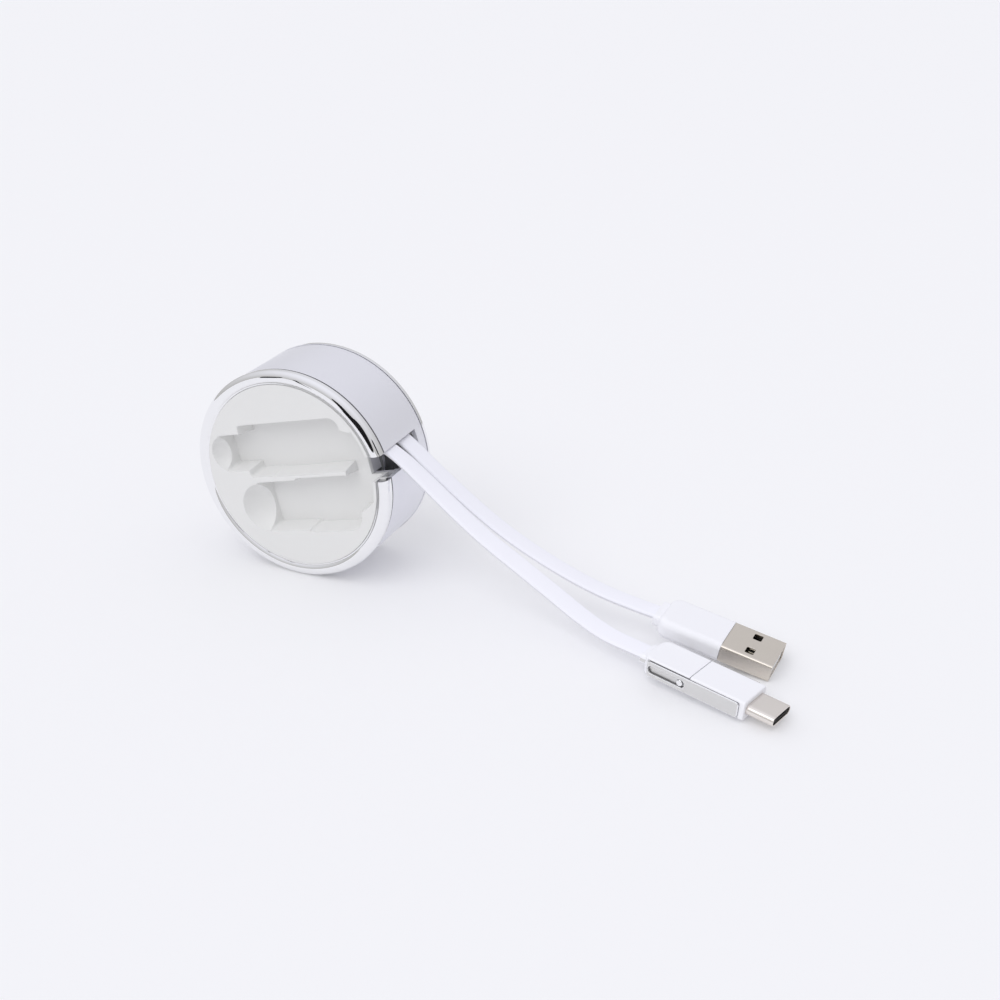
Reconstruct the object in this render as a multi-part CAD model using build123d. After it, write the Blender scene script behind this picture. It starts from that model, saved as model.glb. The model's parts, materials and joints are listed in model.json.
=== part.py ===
from build123d import *
import os
from math import cos, hypot, radians, sin, tan

# A retractable charging cable. A round reel case stands on its rim, its face to -Y, with two plug
# nests in the face. Two flat ribbons leave one slot at the right and run down to a type A plug and
# to a two-in-one plug, whose type C cap slides forward off a small flat tip. Millimetres, degrees.

# Case rings, panel and wall, depths counted back from the panel's face
RING_RADIUS = 28.5
RING_WIDTH = 3.4
RING_CREST = 0.4
RING_SEAT = 2.1
RING_SHEET = 0.55
RING_SHOULDER = 0.9
BACK_RING_DEPTH = 1.4
BACK_RING_WIDTH = 3.4
BACK_RING_ROUND = 0.45
CASE_DEPTH = 23.7
WALL_STEP = 0.2
WALL = 1.3
LEDGE_WIDTH = 0.9
LEDGE_DEPTH = 0.8
CASE_FIT = 0.1

# Plug nests, in the panel's own directions: along the plugs, then across them
NEST_TILT = 14.0
NEST_DEPTH = 5.6
NEST_DRAFT = 8.0
NEST_FLOOR = 1.2
NEST_WALL = 0.9
NEST_CORNER = 0.8
PANEL_SKIN = 1.6
PANEL_FLANGE = 1.2
PANEL_RIM = 1.2
CAP_NEST_ALONG = (-12.4, 18.4)
CAP_NEST_ACROSS = (0.5, 14.85)
CAP_NEST_EXIT_ROUND = 2.8
CAP_STEP_ALONG = (-6.0, 10.2)
CAP_STEP_ACROSS = (0.25, 10.0)
TIP_NEST_ALONG = (-19.6, -10.0)
TIP_NEST_ACROSS = (2.4, 12.5)
A_NEST_ALONG = (-11.6, 10.0)
A_NEST_ACROSS = (-15.2, -1.15)
A_WIDE_ALONG = (0.8, 18.2)
A_WIDE_ACROSS = (-15.8, -0.6)
A_NEST_EXIT_ROUND = 4.6
CHANNEL_START = 17.0
CHANNEL_LOW = (-10.6, -7.8)
CHANNEL_LOW_BENDS = (19.0, 23.6)
CHANNEL_HIGH = (11.3, 10.6)
CHANNEL_HIGH_BENDS = (18.4, 20.7)
CAP_SCOOP = (-17.6, 7.5)
CAP_SCOOP_RADIUS = 5.0
CAP_SCOOP_DEPTH = 3.6
A_SCOOP = (-11.2, -8.2)
A_SCOOP_RADIUS = 6.6
A_SCOOP_DEPTH = 4.6

# Exit slot, shared by the front ring, the panel and the wall
SLOT_ACROSS = (-2.8, 3.85)
SLOT_BACK = 18.9
PASSAGE_START = 20.7
PASSAGE_TOP = 9.0
LIP_RELIEF = 52.0

# Divider, reel and post, the reel's centre counted forward from the case's rear
DIVIDER = 1.0
DIVIDER_HOLE = 4.0
PASSAGE_WALL = 1.2
REEL_CENTRE = 8.7
FLANGE_RADIUS = 20.5
FRONT_FLANGE = 1.0
REAR_FLANGE = 2.2
CORE_RADIUS = 11.0
CORE_WALL = 1.2
WEB = 1.5
WINDING_RADIUS = 18.0
WINDING_GAP = 0.1
POST_RADIUS = 3.0
POST_FIT = 0.05
END_PLAY = 0.15
SHOULDER_RADIUS = 4.4
RUNNING_GAP = 0.3
RECESS_RADIUS = 5.2
RECESS_DEPTH = 2.0
WASHER_RADIUS = 4.4
WASHER = 0.5
SCREW_RADIUS = 1.0
SCREW_LENGTH = 7.0
HEAD_RADIUS = 2.4
HEAD = 1.4
COVER_PLATE = 0.8
COVER_LIP = 0.75
BACK_PLATE = 1.1
BACK_RECESS = 0.3
BACK_STEP = 0.7

# Stop ball, its track in the rear flange and its guide on the back cover
BALL_RADIUS = 1.2
BALL_ROOM = 0.15
BALL_ANGLE = -90.0
TRACK_INNER = 14.0
TRACK_OUTER = 18.0
TRACK_GATES = 3
LOCK_OFFSET = 0.9
GUIDE_WALL = 1.2

# Return spring
SPRING_STRIP = 0.4
SPRING_PITCH = 1.1
SPRING_START = 3.6
SPRING_HALF_TURNS = 10
SPRING_SIDE_GAP = 0.2
SPRING_TAIL = 1.0

# Ribbons: width, thickness and their routes from inside the slot to the plugs
RIBBON_WIDTH = 5.2
RIBBON_THICK = 1.2
ROUTE_A = [
    (8.0, 3.35, 46.55),
    (17.0, 3.35, 42.75),
    (26.0, 3.15, 37.75),
    (34.5, 2.2, 31.7),
    (43.5, 0.85, 25.75),
    (53.0, -0.5, 20.35),
    (63.0, -1.7, 16.0),
    (73.5, -2.7, 12.25),
    (83.0, -3.4, 9.7),
    (91.0, -3.87, 8.4),
    (97.5, -4.24, 7.67),
]
ROUTE_C = [
    (19.0, -5.3, 41.35),
    (26.2, -5.4, 38.35),
    (34.5, -6.2, 32.75),
    (43.5, -7.1, 26.55),
    (53.0, -8.15, 20.67),
    (63.0, -9.5, 15.72),
    (73.0, -11.2, 11.0),
    (81.5, -13.05, 7.15),
    (88.5, -14.85, 5.1),
    (94.5, -16.6, 4.95),
    (99.8, -18.16, 4.77),
]

# Type A plug, lying nose down on the floor
A_AT = (115.0, -5.0)
A_TURN = -2.5
A_DIP = 10.3
A_SHELL = (12.0, 4.5)
A_SHELL_OUT = 12.8
A_SHELL_IN = 6.0
A_SHEET = 0.3
A_SHELL_ROUND = 0.6
A_HOLE = (2.1, 2.5)
A_HOLE_AT = (6.4, 3.2)
A_HOLE_ROUND = 0.35
A_GRIP = (12.9, 5.1)
A_GRIP_LENGTH = 16.3
A_GRIP_REAR_ROUND = 3.0
A_GRIP_SIDE_ROUND = 1.7
A_TONGUE_THICK = 1.9
A_TONGUE_SETBACK = 0.4
A_BLOCK_FRONT = 2.2
CONTACT_WIDTH = 1.0
CONTACT_THICK = 0.2
CONTACT_LENGTH = 7.5
CONTACT_PLACES = (-3.5, -1.0, 1.0, 3.5)

# Collar where a ribbon enters a plug
A_COLLAR = (8.0, 3.0)
C_COLLAR = (6.8, 2.4)
COLLAR_LENGTH = 1.5
COLLAR_ROUND = 0.9

# Two-in-one plug
C_AT = (127.2, -25.5)
C_TURN = -15.0
C_DIP = 3.4
C_ROLL = -1.9
C_FLOOR_GAP = 0.05
C_BODY = (10.1, 4.9)
C_BODY_ROUND = 0.8
CAP_LENGTH = 14.2
CAP_SPLIT = 0.15
CAP_TRAVEL = 7.5
C_SHELL = (8.25, 2.4)
C_SHELL_OUT = 6.8
C_SHELL_IN = 4.0
C_SHEET = 0.3
C_CORE_SETBACK = 0.5
C_MOUTH = (6.7, 1.0)
C_MOUTH_DEPTH = 5.0
TIP_GRIP_LENGTH = 12.8
TIP_REAR_ROUND = 2.6
TIP_SHELL = (6.85, 1.85)
TIP_SHELL_OUT = 6.2
TIP_SHELL_IN = 3.0
TIP_SHEET = 0.25
TIP_CHAMFER = 0.5
TIP_FIT = 0.12
TIP_TONGUE_THICK = 0.7
LINK_LENGTH = 24.1
LINK_HEIGHT = 3.9
LINK_THICK = 0.6
LINK_PROUD = 0.4
LINK_SETBACK = 1.3
LINK_ROUND = 0.8
LINK_FIT = 0.1
LINK_SLOT_RIM = 0.4
PIN_RADIUS = 0.85
PIN_SLOT_FIT = 0.1
PIN_STOP_GAP = 0.45
PIN_WALL = 0.35
PIN_DOME = 0.35
PIN_FIT = 0.02

# Derived sizes of the case
ring_inner = RING_RADIUS - RING_WIDTH
panel_radius = ring_inner - CASE_FIT
wall_outer = RING_RADIUS - WALL_STEP
wall_inner = wall_outer - WALL
inside_radius = wall_inner - CASE_FIT
wall_back = CASE_DEPTH - BACK_RING_DEPTH
back_ring_inner = RING_RADIUS - BACK_RING_WIDTH
panel_back = NEST_DEPTH + NEST_FLOOR
divider_back = panel_back + DIVIDER
channel_radius = panel_radius - NEST_WALL
panel_plane = RING_CREST - (RING_CREST + CASE_DEPTH) / 2

# Derived depths of the reel
reel_depth = CASE_DEPTH - REEL_CENTRE
groove_front = reel_depth - RIBBON_WIDTH / 2 - WINDING_GAP
groove_back = reel_depth + RIBBON_WIDTH / 2 + WINDING_GAP
reel_front = groove_front - FRONT_FLANGE
reel_back = groove_back + REAR_FLANGE
recess_floor = reel_front + RECESS_DEPTH
web_back = recess_floor + WEB
cavity_radius = CORE_RADIUS - CORE_WALL
cover_front = reel_back - COVER_PLATE
cover_radius = cavity_radius + COVER_LIP
post_end = recess_floor - POST_FIT
cover_inside = wall_back - BACK_STEP
guide_front = reel_back + RUNNING_GAP
ball_depth = reel_back + RUNNING_GAP / 2
track_half = BALL_RADIUS + BALL_ROOM
track_floor = ball_depth - BALL_RADIUS - BALL_ROOM
guide_floor = ball_depth + BALL_RADIUS + BALL_ROOM

# Derived sizes of the plugs
a_block_rear = -A_SHELL_IN
c_split = -CAP_LENGTH
tip_front = c_split - CAP_SPLIT
tip_rear = tip_front - TIP_GRIP_LENGTH
link_outer = C_BODY[0] / 2 + LINK_PROUD
link_inner = link_outer - LINK_THICK
link_front = -LINK_SETBACK
link_rear = link_front - LINK_LENGTH
slot_half = PIN_RADIUS + PIN_SLOT_FIT
slot_rear = link_rear + LINK_SLOT_RIM
pin_at = slot_rear + PIN_SLOT_FIT + CAP_TRAVEL + PIN_RADIUS
slot_front = pin_at + PIN_RADIUS + PIN_STOP_GAP
pin_inner = TIP_SHELL[0] / 2 + PIN_WALL

# Places of the three frames that the pieces are modelled in
REEL = Pos(0, panel_plane, RING_RADIUS) * Rot(90, 0, 0)
NEST = Rot(0, 0, NEST_TILT)
a_height = A_SHELL[1] / 2 * cos(radians(A_DIP)) + A_SHELL_OUT * sin(radians(A_DIP))
PLUG_A = Pos(A_AT[0], A_AT[1], a_height) * Rot(0, 0, A_TURN) * Rot(0, A_DIP, 0)
c_corner = C_BODY[1] / 2 * cos(radians(C_DIP)) + C_BODY[0] / 2 * sin(radians(abs(C_ROLL)))
c_height = c_corner + CAP_TRAVEL * sin(radians(C_DIP)) + C_FLOOR_GAP
PLUG_C = Pos(C_AT[0], C_AT[1], c_height) * Rot(0, 0, C_TURN) * Rot(0, C_DIP, 0) * Rot(C_ROLL, 0, 0)

OVERRUN = 1.0
FAR = 60.0
LOW = (Align.CENTER, Align.CENTER, Align.MIN)


# Shared shapes

def disc(radius, front, back):
    """A round plate between two depths behind the panel's face."""
    return Pos(0, 0, -back) * Cylinder(radius, back - front, align=LOW)


def tube(outer, inner, front, back):
    """A round sleeve between two depths."""
    return disc(outer, front, back) - disc(inner, front - OVERRUN, back + OVERRUN)


def bar(along, across, front, back):
    """A block given by its two limits along and across and its two depths."""
    length = along[1] - along[0]
    width = across[1] - across[0]
    middle = Pos((along[0] + along[1]) / 2, (across[0] + across[1]) / 2, -back)
    return middle * Box(length, width, back - front, align=LOW)


def grown(limits, by):
    """Two limits, each moved outwards."""
    return limits[0] - by, limits[1] + by


def upright_edges(solid):
    """The edges of a pocket or block that run front to back."""
    return solid.edges().filter_by(lambda edge: abs(edge.tangent_at(0.5).Z) > 0.8)


def pocket(along, across, exit_round, upper):
    """A moulded pocket, narrower at its floor by the draft, with one rounder corner at its exit."""
    centre = ((along[0] + along[1]) / 2, (across[0] + across[1]) / 2)
    slope = tan(radians(NEST_DRAFT))
    sections = []
    for height in (-NEST_DEPTH, OVERRUN):
        length = along[1] - along[0] + 2 * height * slope
        width = across[1] - across[0] + 2 * height * slope
        sections.append(Pos(centre[0], centre[1], height) * Rectangle(length, width))
    solid = loft(sections)
    side = 1 if upper else -1
    corners = upright_edges(solid).sort_by(lambda edge: edge.center().X + side * edge.center().Y)
    solid = fillet(corners[:-1], NEST_CORNER)
    corners = upright_edges(solid).sort_by(lambda edge: edge.center().X + side * edge.center().Y)
    return fillet(corners[-1], exit_round)


def channel_outline():
    """The way from the nests to the slot, narrowing towards the rim."""
    low = [(CHANNEL_START, CHANNEL_LOW[0]), (CHANNEL_LOW_BENDS[0], CHANNEL_LOW[0])]
    low += [(CHANNEL_LOW_BENDS[1], CHANNEL_LOW[1]), (FAR, CHANNEL_LOW[1])]
    high = [(FAR, CHANNEL_HIGH[1]), (CHANNEL_HIGH_BENDS[1], CHANNEL_HIGH[1])]
    high += [(CHANNEL_HIGH_BENDS[0], CHANNEL_HIGH[0]), (CHANNEL_START, CHANNEL_HIGH[0])]
    return make_face(Polyline(*low, *high, close=True))


def slot_band(start, across, front, back):
    """A straight cut along the nests' direction, out through the right side of the case."""
    return NEST * bar((start, RING_RADIUS + OVERRUN), across, front, back)


def section_block(size, rear, front, round_by):
    """A bar along X with a rounded rectangular section, for a plug's body."""
    outline = Plane.YZ * RectangleRounded(size[0], size[1], round_by)
    return Pos(rear, 0, 0) * extrude(outline, front - rear)


# Reel case

def front_ring():
    """Hollow bullnose bezel, open where the slot meets the face."""
    middle = (ring_inner + RING_RADIUS) / 2
    near = ring_inner + RING_SHEET
    far = RING_RADIUS - RING_SHEET
    crest = ThreePointArc((ring_inner, -RING_SHOULDER), (middle, RING_CREST), (RING_RADIUS, -RING_SHOULDER))
    legs = [(RING_RADIUS, -RING_SHOULDER), (RING_RADIUS, -RING_SEAT), (ring_inner, -RING_SEAT)]
    outside = make_face(crest + Polyline(*legs, (ring_inner, -RING_SHOULDER)))
    hollow = [(near, -RING_SEAT), (near, -RING_SHOULDER), (middle, RING_CREST - RING_SHEET)]
    hollow += [(far, -RING_SHOULDER), (far, -RING_SEAT)]
    ring = revolve(Plane.XZ * (outside - make_face(Polyline(*hollow, close=True))), Axis.Z)
    return ring - slot_band(PASSAGE_START, SLOT_ACROSS, -OVERRUN, RING_SEAT + OVERRUN)


def scoop(at, radius, depth, wall):
    """Finger scoop: a ball that cuts the face in a circle of the given radius."""
    ball = (radius * radius + depth * depth) / (2 * depth)
    return NEST * Pos(at[0], at[1], ball - depth) * Sphere(ball + wall)


def nest_panel():
    """Moulded face with a nest for each plug, scoops, and the channel to the slot."""
    tubs = [(CAP_NEST_ALONG, CAP_NEST_ACROSS), (TIP_NEST_ALONG, TIP_NEST_ACROSS)]
    tubs += [(A_NEST_ALONG, A_NEST_ACROSS), (A_WIDE_ALONG, A_WIDE_ACROSS)]
    tubs.append(((CHANNEL_START, FAR), (CHANNEL_LOW[0], CHANNEL_HIGH[0])))
    scoops = [(CAP_SCOOP, CAP_SCOOP_RADIUS, CAP_SCOOP_DEPTH), (A_SCOOP, A_SCOOP_RADIUS, A_SCOOP_DEPTH)]
    room = disc(panel_radius, 0, panel_back)

    panel = disc(panel_radius, 0, RING_SEAT) + disc(inside_radius, RING_SEAT, RING_SEAT + PANEL_FLANGE)
    panel -= disc(panel_radius - PANEL_RIM, PANEL_SKIN, FAR)
    for along, across in tubs:
        panel += NEST * bar(grown(along, NEST_WALL), grown(across, NEST_WALL), 0, panel_back) & room
    for at, radius, depth in scoops:
        panel += scoop(at, radius, depth, NEST_WALL) & room

    panel -= NEST * pocket(CAP_NEST_ALONG, CAP_NEST_ACROSS, CAP_NEST_EXIT_ROUND, True)
    panel -= NEST * pocket(CAP_STEP_ALONG, CAP_STEP_ACROSS, NEST_CORNER, True)
    panel -= NEST * pocket(TIP_NEST_ALONG, TIP_NEST_ACROSS, NEST_CORNER, True)
    panel -= NEST * pocket(A_NEST_ALONG, A_NEST_ACROSS, NEST_CORNER, False)
    panel -= NEST * pocket(A_WIDE_ALONG, A_WIDE_ACROSS, A_NEST_EXIT_ROUND, False)
    for at, radius, depth in scoops:
        panel -= scoop(at, radius, depth, 0)
    channel = Pos(0, 0, -NEST_DEPTH) * extrude(channel_outline(), NEST_DEPTH + OVERRUN)
    panel -= NEST * channel & disc(channel_radius, -OVERRUN, NEST_DEPTH)
    panel -= slot_band(PASSAGE_START, SLOT_ACROSS, -OVERRUN, panel_back + OVERRUN)
    panel -= slot_band(PASSAGE_START, (SLOT_ACROSS[0], PASSAGE_TOP), RING_SEAT, panel_back + OVERRUN)
    return panel


def lip_relief():
    """Wedge that slopes the slot's upper face inwards, so that the ribbons clear the lip."""
    lip = (wall_outer ** 2 - SLOT_ACROSS[1] ** 2) ** 0.5
    rise = PASSAGE_TOP - SLOT_ACROSS[1]
    inner = lip - rise / tan(radians(LIP_RELIEF))
    wedge = make_face(Polyline((lip, SLOT_ACROSS[1]), (inner, PASSAGE_TOP), (inner, SLOT_ACROSS[1]), close=True))
    return NEST * Pos(0, 0, -SLOT_BACK) * extrude(wedge, SLOT_BACK - RING_SEAT)


def drum_wall():
    """Sleeve between the rings, with the slot, its sloped lip and a ledge that seats the divider."""
    wall = tube(wall_outer, wall_inner, RING_SEAT, wall_back)
    ledge = tube(wall_inner, wall_inner - LEDGE_WIDTH, divider_back, divider_back + LEDGE_DEPTH)
    wall += ledge - slot_band(PASSAGE_START, (SLOT_ACROSS[0], PASSAGE_TOP), 0, FAR)
    wall -= slot_band(PASSAGE_START, SLOT_ACROSS, RING_SEAT - OVERRUN, SLOT_BACK)
    return wall - lip_relief()


def divider_plate():
    """Disc between the nests and the reel, notched where the ribbons pass, with a rib along the notch."""
    plate = tube(inside_radius, DIVIDER_HOLE, panel_back, divider_back)
    rib = (PASSAGE_START - PASSAGE_WALL, PASSAGE_START)
    plate += NEST * bar(rib, SLOT_ACROSS, divider_back, reel_front - 2 * RUNNING_GAP)
    notch = (SLOT_ACROSS[0], PASSAGE_TOP)
    return plate - slot_band(PASSAGE_START, notch, panel_back - OVERRUN, divider_back + OVERRUN)


def ball_place(radius):
    """A point on the line that the stop ball slides along."""
    return Pos(radius * cos(radians(BALL_ANGLE)), radius * sin(radians(BALL_ANGLE)), -ball_depth)


def guide_bar(half_width, end_room, front, back):
    """A block along the ball's line, reaching past both ends of its travel."""
    along = (TRACK_INNER - end_room, TRACK_OUTER + end_room)
    return Rot(0, 0, BALL_ANGLE) * bar(along, (-half_width, half_width), front, back)


def back_cover():
    """Rear disc with the reel's fixed post, its thrust shoulder and the ball's guide."""
    cover = disc(inside_radius, cover_inside, wall_back)
    cover += disc(back_ring_inner - CASE_FIT, wall_back, CASE_DEPTH - BACK_RECESS)
    cover += disc(SHOULDER_RADIUS, reel_back + END_PLAY, cover_inside)
    cover += disc(POST_RADIUS, post_end, cover_inside)
    cover += guide_bar(track_half + GUIDE_WALL, track_half + GUIDE_WALL, guide_front, cover_inside)
    cover -= guide_bar(track_half, track_half, guide_front - OVERRUN, guide_floor)
    cover -= disc(SCREW_RADIUS, post_end - OVERRUN, post_end + SCREW_LENGTH - WASHER)
    slit = bar((0, POST_RADIUS + OVERRUN), (-SPRING_STRIP - POST_FIT, POST_FIT), web_back, cover_front)
    return cover - slit


def back_ring():
    """Thin ring over the wall's rear edge, its outer rear edge rounded."""
    ring = tube(RING_RADIUS, back_ring_inner, wall_back, CASE_DEPTH)
    rear = ring.edges().filter_by(GeomType.CIRCLE).group_by(Axis.Z)[0].sort_by(SortBy.RADIUS)[-1]
    return fillet(rear, BACK_RING_ROUND)


# Reel

def spool():
    """Core and flanges on the post, with the spring's cavity and the ball's track."""
    body = disc(FLANGE_RADIUS, reel_front, groove_front) + disc(CORE_RADIUS, groove_front, groove_back)
    body += disc(FLANGE_RADIUS, groove_back, reel_back)
    body -= disc(RECESS_RADIUS, reel_front - OVERRUN, recess_floor)
    body -= disc(POST_RADIUS + POST_FIT, reel_front, reel_back)
    body -= disc(cavity_radius, web_back, reel_back + OVERRUN)
    body -= disc(cover_radius, cover_front, reel_back + OVERRUN)
    for radius in (TRACK_INNER, TRACK_OUTER):
        body -= tube(radius + track_half, radius - track_half, track_floor, reel_back + OVERRUN)
    pitch = 360 / TRACK_GATES
    for gate in range(TRACK_GATES):
        turn = Rot(0, 0, gate * pitch)
        body -= turn * guide_bar(track_half, 0, track_floor, reel_back + OVERRUN)
        lock = disc(track_half, track_floor, reel_back + OVERRUN)
        body -= turn * Rot(0, 0, BALL_ANGLE + pitch / 2) * Pos(TRACK_INNER + LOCK_OFFSET, 0, 0) * lock
    return body


def ribbon_winding():
    """The wound part of both ribbons, laid one on the other."""
    return tube(WINDING_RADIUS, CORE_RADIUS + WINDING_GAP, groove_front + WINDING_GAP, groove_back - WINDING_GAP)


def spiral_spring():
    """Flat spring: half turns on two centres, with a tail in the post's slit."""
    front = web_back + SPRING_SIDE_GAP
    back = cover_front - SPRING_SIDE_GAP
    spring = bar((SPRING_TAIL, SPRING_START + SPRING_STRIP / 2), (-SPRING_STRIP, 0), front, back)
    for half_turn in range(SPRING_HALF_TURNS):
        radius = SPRING_START + half_turn * SPRING_PITCH / 2
        lower = half_turn % 2
        ring = tube(radius + SPRING_STRIP / 2, radius - SPRING_STRIP / 2, front, back)
        side = (-FAR, 0) if lower else (0, FAR)
        half = ring & bar((-FAR, FAR), side, front, back)
        spring += Pos(lower * SPRING_PITCH / 2, 0, 0) * half
    return spring


def spring_cover():
    """Disc that closes the core behind the spring and turns on the post."""
    return tube(cover_radius - POST_FIT, POST_RADIUS + POST_FIT, cover_front, reel_back)


def stop_ball():
    """Steel ball, at rest in the outer track."""
    return ball_place(TRACK_OUTER) * Sphere(BALL_RADIUS)


def spindle_washer():
    """Washer on the post's end that keeps the spool on."""
    return tube(WASHER_RADIUS, SCREW_RADIUS, post_end - WASHER, post_end)


def spindle_screw():
    """Pan head screw in the post."""
    top = post_end - WASHER - HEAD
    screw = disc(HEAD_RADIUS, top, post_end - WASHER)
    screw = fillet(screw.edges().group_by(Axis.Z)[-1], HEAD / 2)
    screw += disc(SCREW_RADIUS - PIN_FIT, post_end - WASHER, post_end - WASHER + SCREW_LENGTH)
    for turn in (0, 90):
        cross = bar((-HEAD_RADIUS / 2, HEAD_RADIUS / 2), (-HEAD / 6, HEAD / 6), top - OVERRUN, top + HEAD / 2)
        screw -= Rot(0, 0, turn) * cross
    return screw


# Plugs, modelled with the nose along +X

def collar(size, rear):
    """Short neck behind a plug's body, where the ribbon enters."""
    return section_block(size, rear - COLLAR_LENGTH, rear, COLLAR_ROUND)


def grip_body(size, rear, front, rear_round, side_round):
    """Moulded body with a round-cornered rear and soft long edges."""
    body = Pos((rear + front) / 2, 0, -size[1] / 2) * Box(front - rear, size[0], size[1], align=LOW)
    corners = body.edges().filter_by(Axis.Z).group_by(Axis.X)[0]
    body = fillet(corners, rear_round)
    soft = body.edges().filter_by(lambda edge: abs(edge.tangent_at(0.5).Z) < 0.1 and edge.center().X < front - 0.1)
    return fillet(soft, side_round)


def plug_a_grip():
    """Moulded grip that holds the shell."""
    body = grip_body(A_GRIP, -A_GRIP_LENGTH, 0, A_GRIP_REAR_ROUND, A_GRIP_SIDE_ROUND)
    body += collar(A_COLLAR, -A_GRIP_LENGTH)
    return body - section_block(A_SHELL, -A_SHELL_IN, OVERRUN, A_SHELL_ROUND)


def plug_a_shell():
    """Folded sheet shell, open at the nose, with square holes above and below."""
    shell = section_block(A_SHELL, -A_SHELL_IN, A_SHELL_OUT, A_SHELL_ROUND)
    inside = (A_SHELL[0] - 2 * A_SHEET, A_SHELL[1] - 2 * A_SHEET)
    shell -= section_block(inside, -A_SHELL_IN - OVERRUN, A_SHELL_OUT + OVERRUN, A_SHELL_ROUND - A_SHEET)
    for side in (-1, 1):
        hole = extrude(RectangleRounded(A_HOLE[0], A_HOLE[1], A_HOLE_ROUND), A_SHELL[1], both=True)
        shell -= Pos(A_HOLE_AT[0], side * A_HOLE_AT[1], 0) * hole
    return shell


def plug_a_tongue():
    """Insulator: a block at the rear and a tongue along the shell's lower half."""
    width = A_SHELL[0] - 2 * A_SHEET
    height = A_SHELL[1] - 2 * A_SHEET
    block = section_block((width, height), -A_SHELL_IN, A_BLOCK_FRONT, A_SHELL_ROUND - A_SHEET)
    low = Pos(A_BLOCK_FRONT, 0, -height / 2)
    length = A_SHELL_OUT - A_TONGUE_SETBACK - A_BLOCK_FRONT
    slab = Box(length, width - 2 * A_SHEET, A_TONGUE_THICK, align=(Align.MIN, Align.CENTER, Align.MIN))
    return block + low * slab


def plug_a_contacts():
    """Spring contacts on the tongue's upper face."""
    top = -A_SHELL[1] / 2 + A_SHEET + A_TONGUE_THICK
    strip = Box(CONTACT_LENGTH, CONTACT_WIDTH, CONTACT_THICK, align=(Align.MIN, Align.CENTER, Align.MIN))
    return Compound(children=[Pos(A_BLOCK_FRONT, place, top) * strip for place in CONTACT_PLACES])


def link_recess(inner, rear, front, room):
    """Both side recesses that the links lie in."""
    height = LINK_HEIGHT + 2 * room
    width = FAR - inner
    block = Box(front - rear, width, height, align=(Align.MIN, Align.MIN, Align.CENTER))
    near = Pos(rear, -inner - width, 0) * block
    return near + Pos(rear, inner, 0) * block


def tip_section(room, rear, front):
    """The small tip's outline: two corners of it cut, with room around it."""
    size = (TIP_SHELL[0] + 2 * room, TIP_SHELL[1] + 2 * room)
    outline = Rectangle(size[0], size[1])
    outline = chamfer(outline.vertices().group_by(Axis.Y)[0], TIP_CHAMFER)
    return Pos(rear, 0, 0) * extrude(Plane.YZ * outline, front - rear)


def tip_grip():
    """Rear body of the two-in-one plug, with the tip's seat, the links' recesses and pin holes."""
    body = grip_body(C_BODY, tip_rear, tip_front, TIP_REAR_ROUND, C_BODY_ROUND)
    body += collar(C_COLLAR, tip_rear)
    body -= link_recess(link_inner - LINK_FIT, link_rear - LINK_FIT, FAR, LINK_FIT)
    body -= tip_section(0, tip_front - TIP_SHELL_IN, tip_front + OVERRUN)
    for side in (-1, 1):
        hole = Cylinder(PIN_RADIUS + PIN_FIT, link_outer - pin_inner, align=LOW)
        body -= Pos(pin_at, side * pin_inner, 0) * Rot(-90 * side, 0, 0) * hole
    return body


def tip_shell():
    """Small flat tip, a folded sheet that the cap hides."""
    rear = tip_front - TIP_SHELL_IN
    front = tip_front + TIP_SHELL_OUT
    return tip_section(0, rear, front) - tip_section(-TIP_SHEET, rear - OVERRUN, front + OVERRUN)


def tip_tongue():
    """Insulator inside the tip: a rear plug and a thin tongue."""
    rear = tip_front - TIP_SHELL_IN
    block = tip_section(-TIP_SHEET, rear, tip_front)
    length = TIP_SHELL_OUT - TIP_CHAMFER
    slab = Box(length, TIP_SHELL[0] / 2, TIP_TONGUE_THICK, align=(Align.MIN, Align.CENTER, Align.CENTER))
    return block + Pos(tip_front, 0, 0) * slab


def link_pins():
    """The two pins that guide the links, with domed ends."""
    pins = []
    for side in (-1, 1):
        shank = Pos(0, 0, pin_inner) * Cylinder(PIN_RADIUS, link_outer - pin_inner, align=LOW)
        dome = fillet(shank.edges().group_by(Axis.Z)[-1], PIN_DOME)
        pins.append(Pos(pin_at, 0, 0) * Rot(-90 * side, 0, 0) * dome)
    return Compound(children=pins)


def cap_body():
    """Type C cap: slides forward on the links, hollow where it covers the tip."""
    body = section_block(C_BODY, c_split, 0, C_BODY_ROUND)
    body = fillet(body.edges().group_by(Axis.X)[-1], C_BODY_ROUND / 2)
    body -= link_recess(link_inner, c_split - OVERRUN, link_front, 0)
    body -= tip_section(TIP_FIT, c_split - OVERRUN, tip_front + TIP_SHELL_OUT + 3 * TIP_FIT)
    return body - section_block(C_SHELL, -C_SHELL_IN, OVERRUN, C_SHELL[1] / 2 - PIN_FIT)


def cap_shell():
    """Type C shell, a drawn oval tube."""
    shell = section_block(C_SHELL, -C_SHELL_IN, C_SHELL_OUT, C_SHELL[1] / 2 - PIN_FIT)
    inside = (C_SHELL[0] - 2 * C_SHEET, C_SHELL[1] - 2 * C_SHEET)
    return shell - section_block(inside, -C_SHELL_IN - OVERRUN, C_SHELL_OUT + OVERRUN, inside[1] / 2 - PIN_FIT)


def cap_core():
    """Insulator in the type C shell, with the open mouth."""
    inside = (C_SHELL[0] - 2 * C_SHEET, C_SHELL[1] - 2 * C_SHEET)
    front = C_SHELL_OUT - C_CORE_SETBACK
    core = section_block(inside, -C_SHELL_IN, front, inside[1] / 2 - PIN_FIT)
    return core - section_block(C_MOUTH, front - C_MOUTH_DEPTH, front + OVERRUN, C_MOUTH[1] / 2 - PIN_FIT)


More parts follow.
